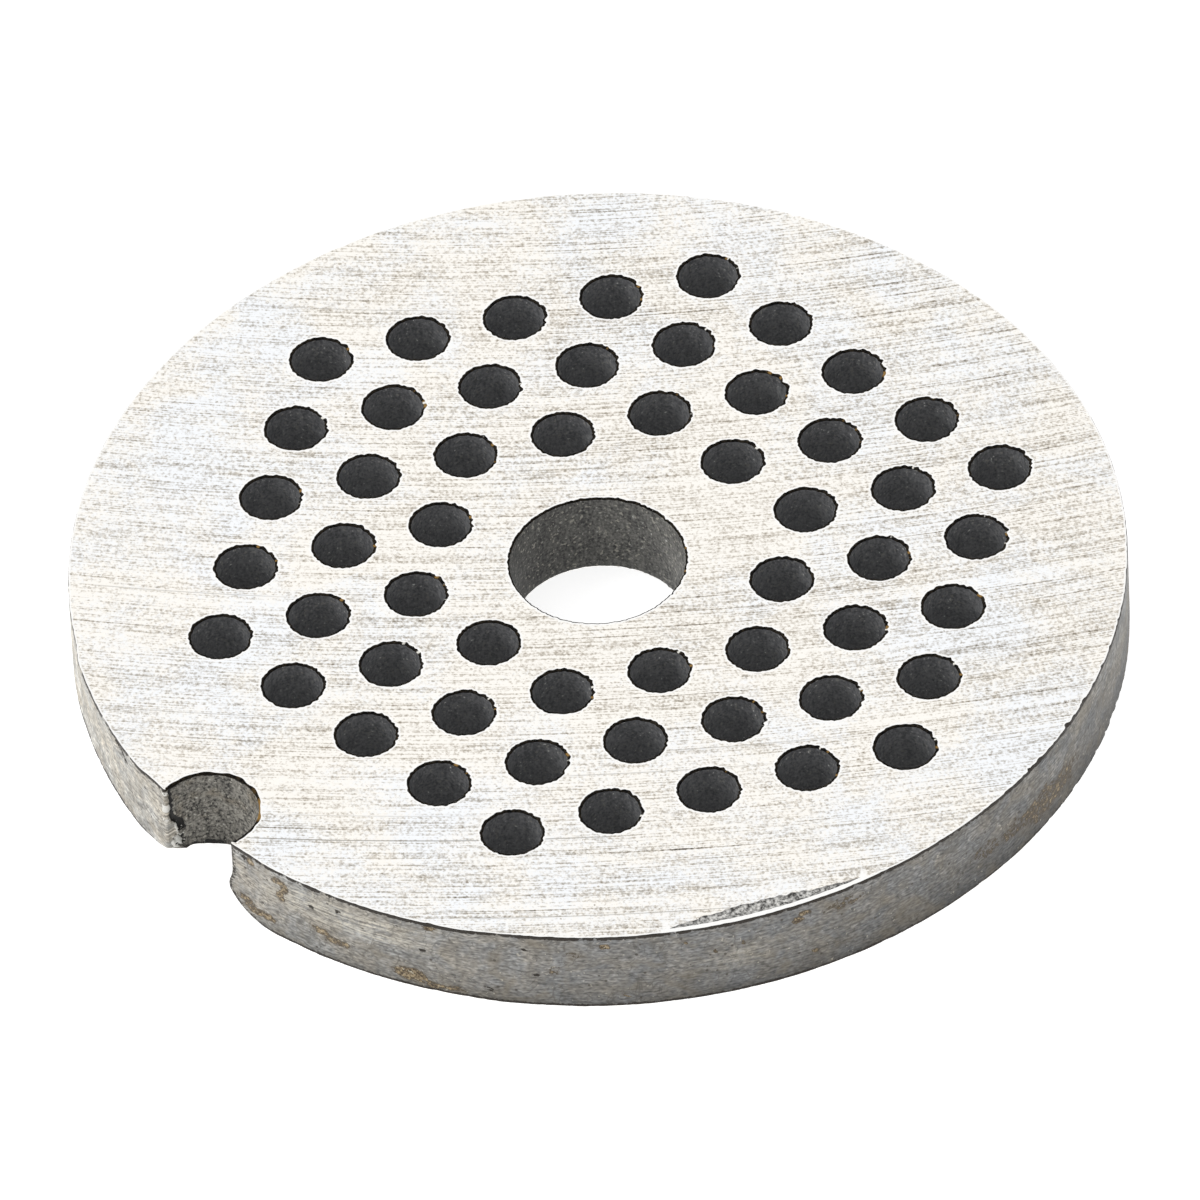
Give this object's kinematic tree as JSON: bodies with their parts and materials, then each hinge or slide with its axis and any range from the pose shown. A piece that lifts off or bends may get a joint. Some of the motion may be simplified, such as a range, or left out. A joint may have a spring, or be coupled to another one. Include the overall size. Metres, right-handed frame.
{
  "type": "meat grinder plate",
  "caption": "Flat round steel grinder plate with a centre bore, a hexagonal field of round meat holes and a locating notch in the rim.",
  "frame": {"origin": "on the bore's axis, in the lower face that the plate rests on", "axes": "+Z along the bore's axis, towards the ground face that the knife turns against; the rim's notch opens towards -Y"},
  "size_m": [0.054, 0.0539, 0.0049],
  "materials": {
    "ground_steel": "coarsely ground flat faces, dull turned rim with light rust stains"
  },
  "bodies": {
    "root": {"grinder_plate": "ground_steel"}
  },
  "joints": []
}
